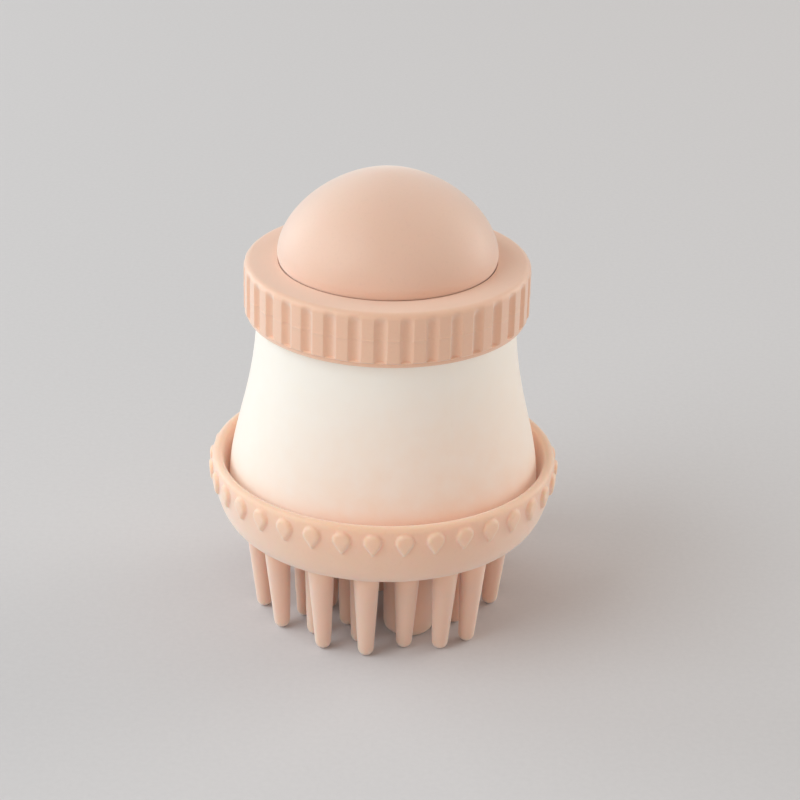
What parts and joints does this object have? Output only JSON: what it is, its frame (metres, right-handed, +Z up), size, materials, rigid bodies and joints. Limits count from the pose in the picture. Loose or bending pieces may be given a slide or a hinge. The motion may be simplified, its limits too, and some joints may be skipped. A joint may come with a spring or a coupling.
{
  "type": "handheld bath brush",
  "caption": "Handheld pet bath brush with a squeeze dome on top, a frosted bell-shaped shampoo bottle and a soft round head of massage tines.",
  "frame": {"origin": "on the brush's axis, on the plane that the tine tips stand on", "axes": "+Z up along the brush's axis from the tine tips to the top of the dome; the front of the pictured view is -Y"},
  "size_m": [0.085, 0.085, 0.1114],
  "materials": {
    "head_silicone": "satin moulded silicone, peach",
    "dome_silicone": "matt moulded silicone, pale peach",
    "peach_plastic": "satin moulded plastic, peach",
    "frosted_plastic": "frosted translucent polypropylene",
    "clear_silicone": "natural silicone",
    "white_plastic": "plain moulded plastic"
  },
  "bodies": {
    "head": {"brush_head": "head_silicone", "outlet_post_front": "head_silicone", "outlet_post_rear": "head_silicone", "tine_outer_01": "head_silicone", "tine_outer_02": "head_silicone", "tine_outer_03": "head_silicone", "tine_outer_04": "head_silicone", "tine_outer_05": "head_silicone", "tine_outer_06": "head_silicone", "tine_outer_07": "head_silicone", "tine_outer_08": "head_silicone", "tine_outer_09": "head_silicone", "tine_outer_10": "head_silicone", "tine_outer_11": "head_silicone", "tine_outer_12": "head_silicone", "tine_outer_13": "head_silicone", "tine_outer_14": "head_silicone", "tine_outer_15": "head_silicone", "tine_outer_16": "head_silicone", "tine_middle_01": "head_silicone", "tine_middle_02": "head_silicone", "tine_middle_03": "head_silicone", "tine_middle_04": "head_silicone", "tine_middle_05": "head_silicone", "tine_middle_06": "head_silicone", "tine_middle_07": "head_silicone", "tine_middle_08": "head_silicone", "tine_inner_01": "head_silicone", "tine_inner_02": "head_silicone", "tine_inner_03": "head_silicone", "tine_inner_04": "head_silicone", "tine_inner_05": "head_silicone", "tine_inner_06": "head_silicone", "tine_inner_07": "head_silicone", "tine_inner_08": "head_silicone", "tine_core_01": "head_silicone", "tine_core_02": "head_silicone", "tine_core_03": "head_silicone", "tine_core_04": "head_silicone", "tine_centre_01": "head_silicone"},
    "bottle": {"bottle": "frosted_plastic", "bottle_floor": "frosted_plastic", "outlet_valve_front": "clear_silicone", "outlet_valve_rear": "clear_silicone"},
    "cap_core": {"dome_retainer": "white_plastic", "seal_gasket": "clear_silicone"},
    "collar": {"screw_collar": "peach_plastic"},
    "dome": {"press_dome": "dome_silicone"}
  },
  "joints": [
    {"name": "bottle_lift", "type": "slide", "parent": "head", "child": "bottle", "axis": [0, 0, 1], "range_m": [0, 0.03]},
    {"name": "cap_lift", "type": "slide", "parent": "bottle", "child": "cap_core", "axis": [0, 0, 1], "range_m": [0, 0.006]},
    {"name": "cap_turn", "type": "hinge", "parent": "cap_core", "child": "collar", "pos_m": [0, 0, 0.083], "axis": [0, 0, 1], "range_deg": [0, 270]},
    {"name": "dome_press", "type": "slide", "parent": "cap_core", "child": "dome", "axis": [0, 0, -1], "range_m": [0, 0.01], "stiffness_N_per_m": 1500, "deforming": ["press_dome"]}
  ],
  "couplings": [
    {"joint": "cap_lift", "follows": "cap_turn", "m_per_rad": 0.0012732}
  ]
}
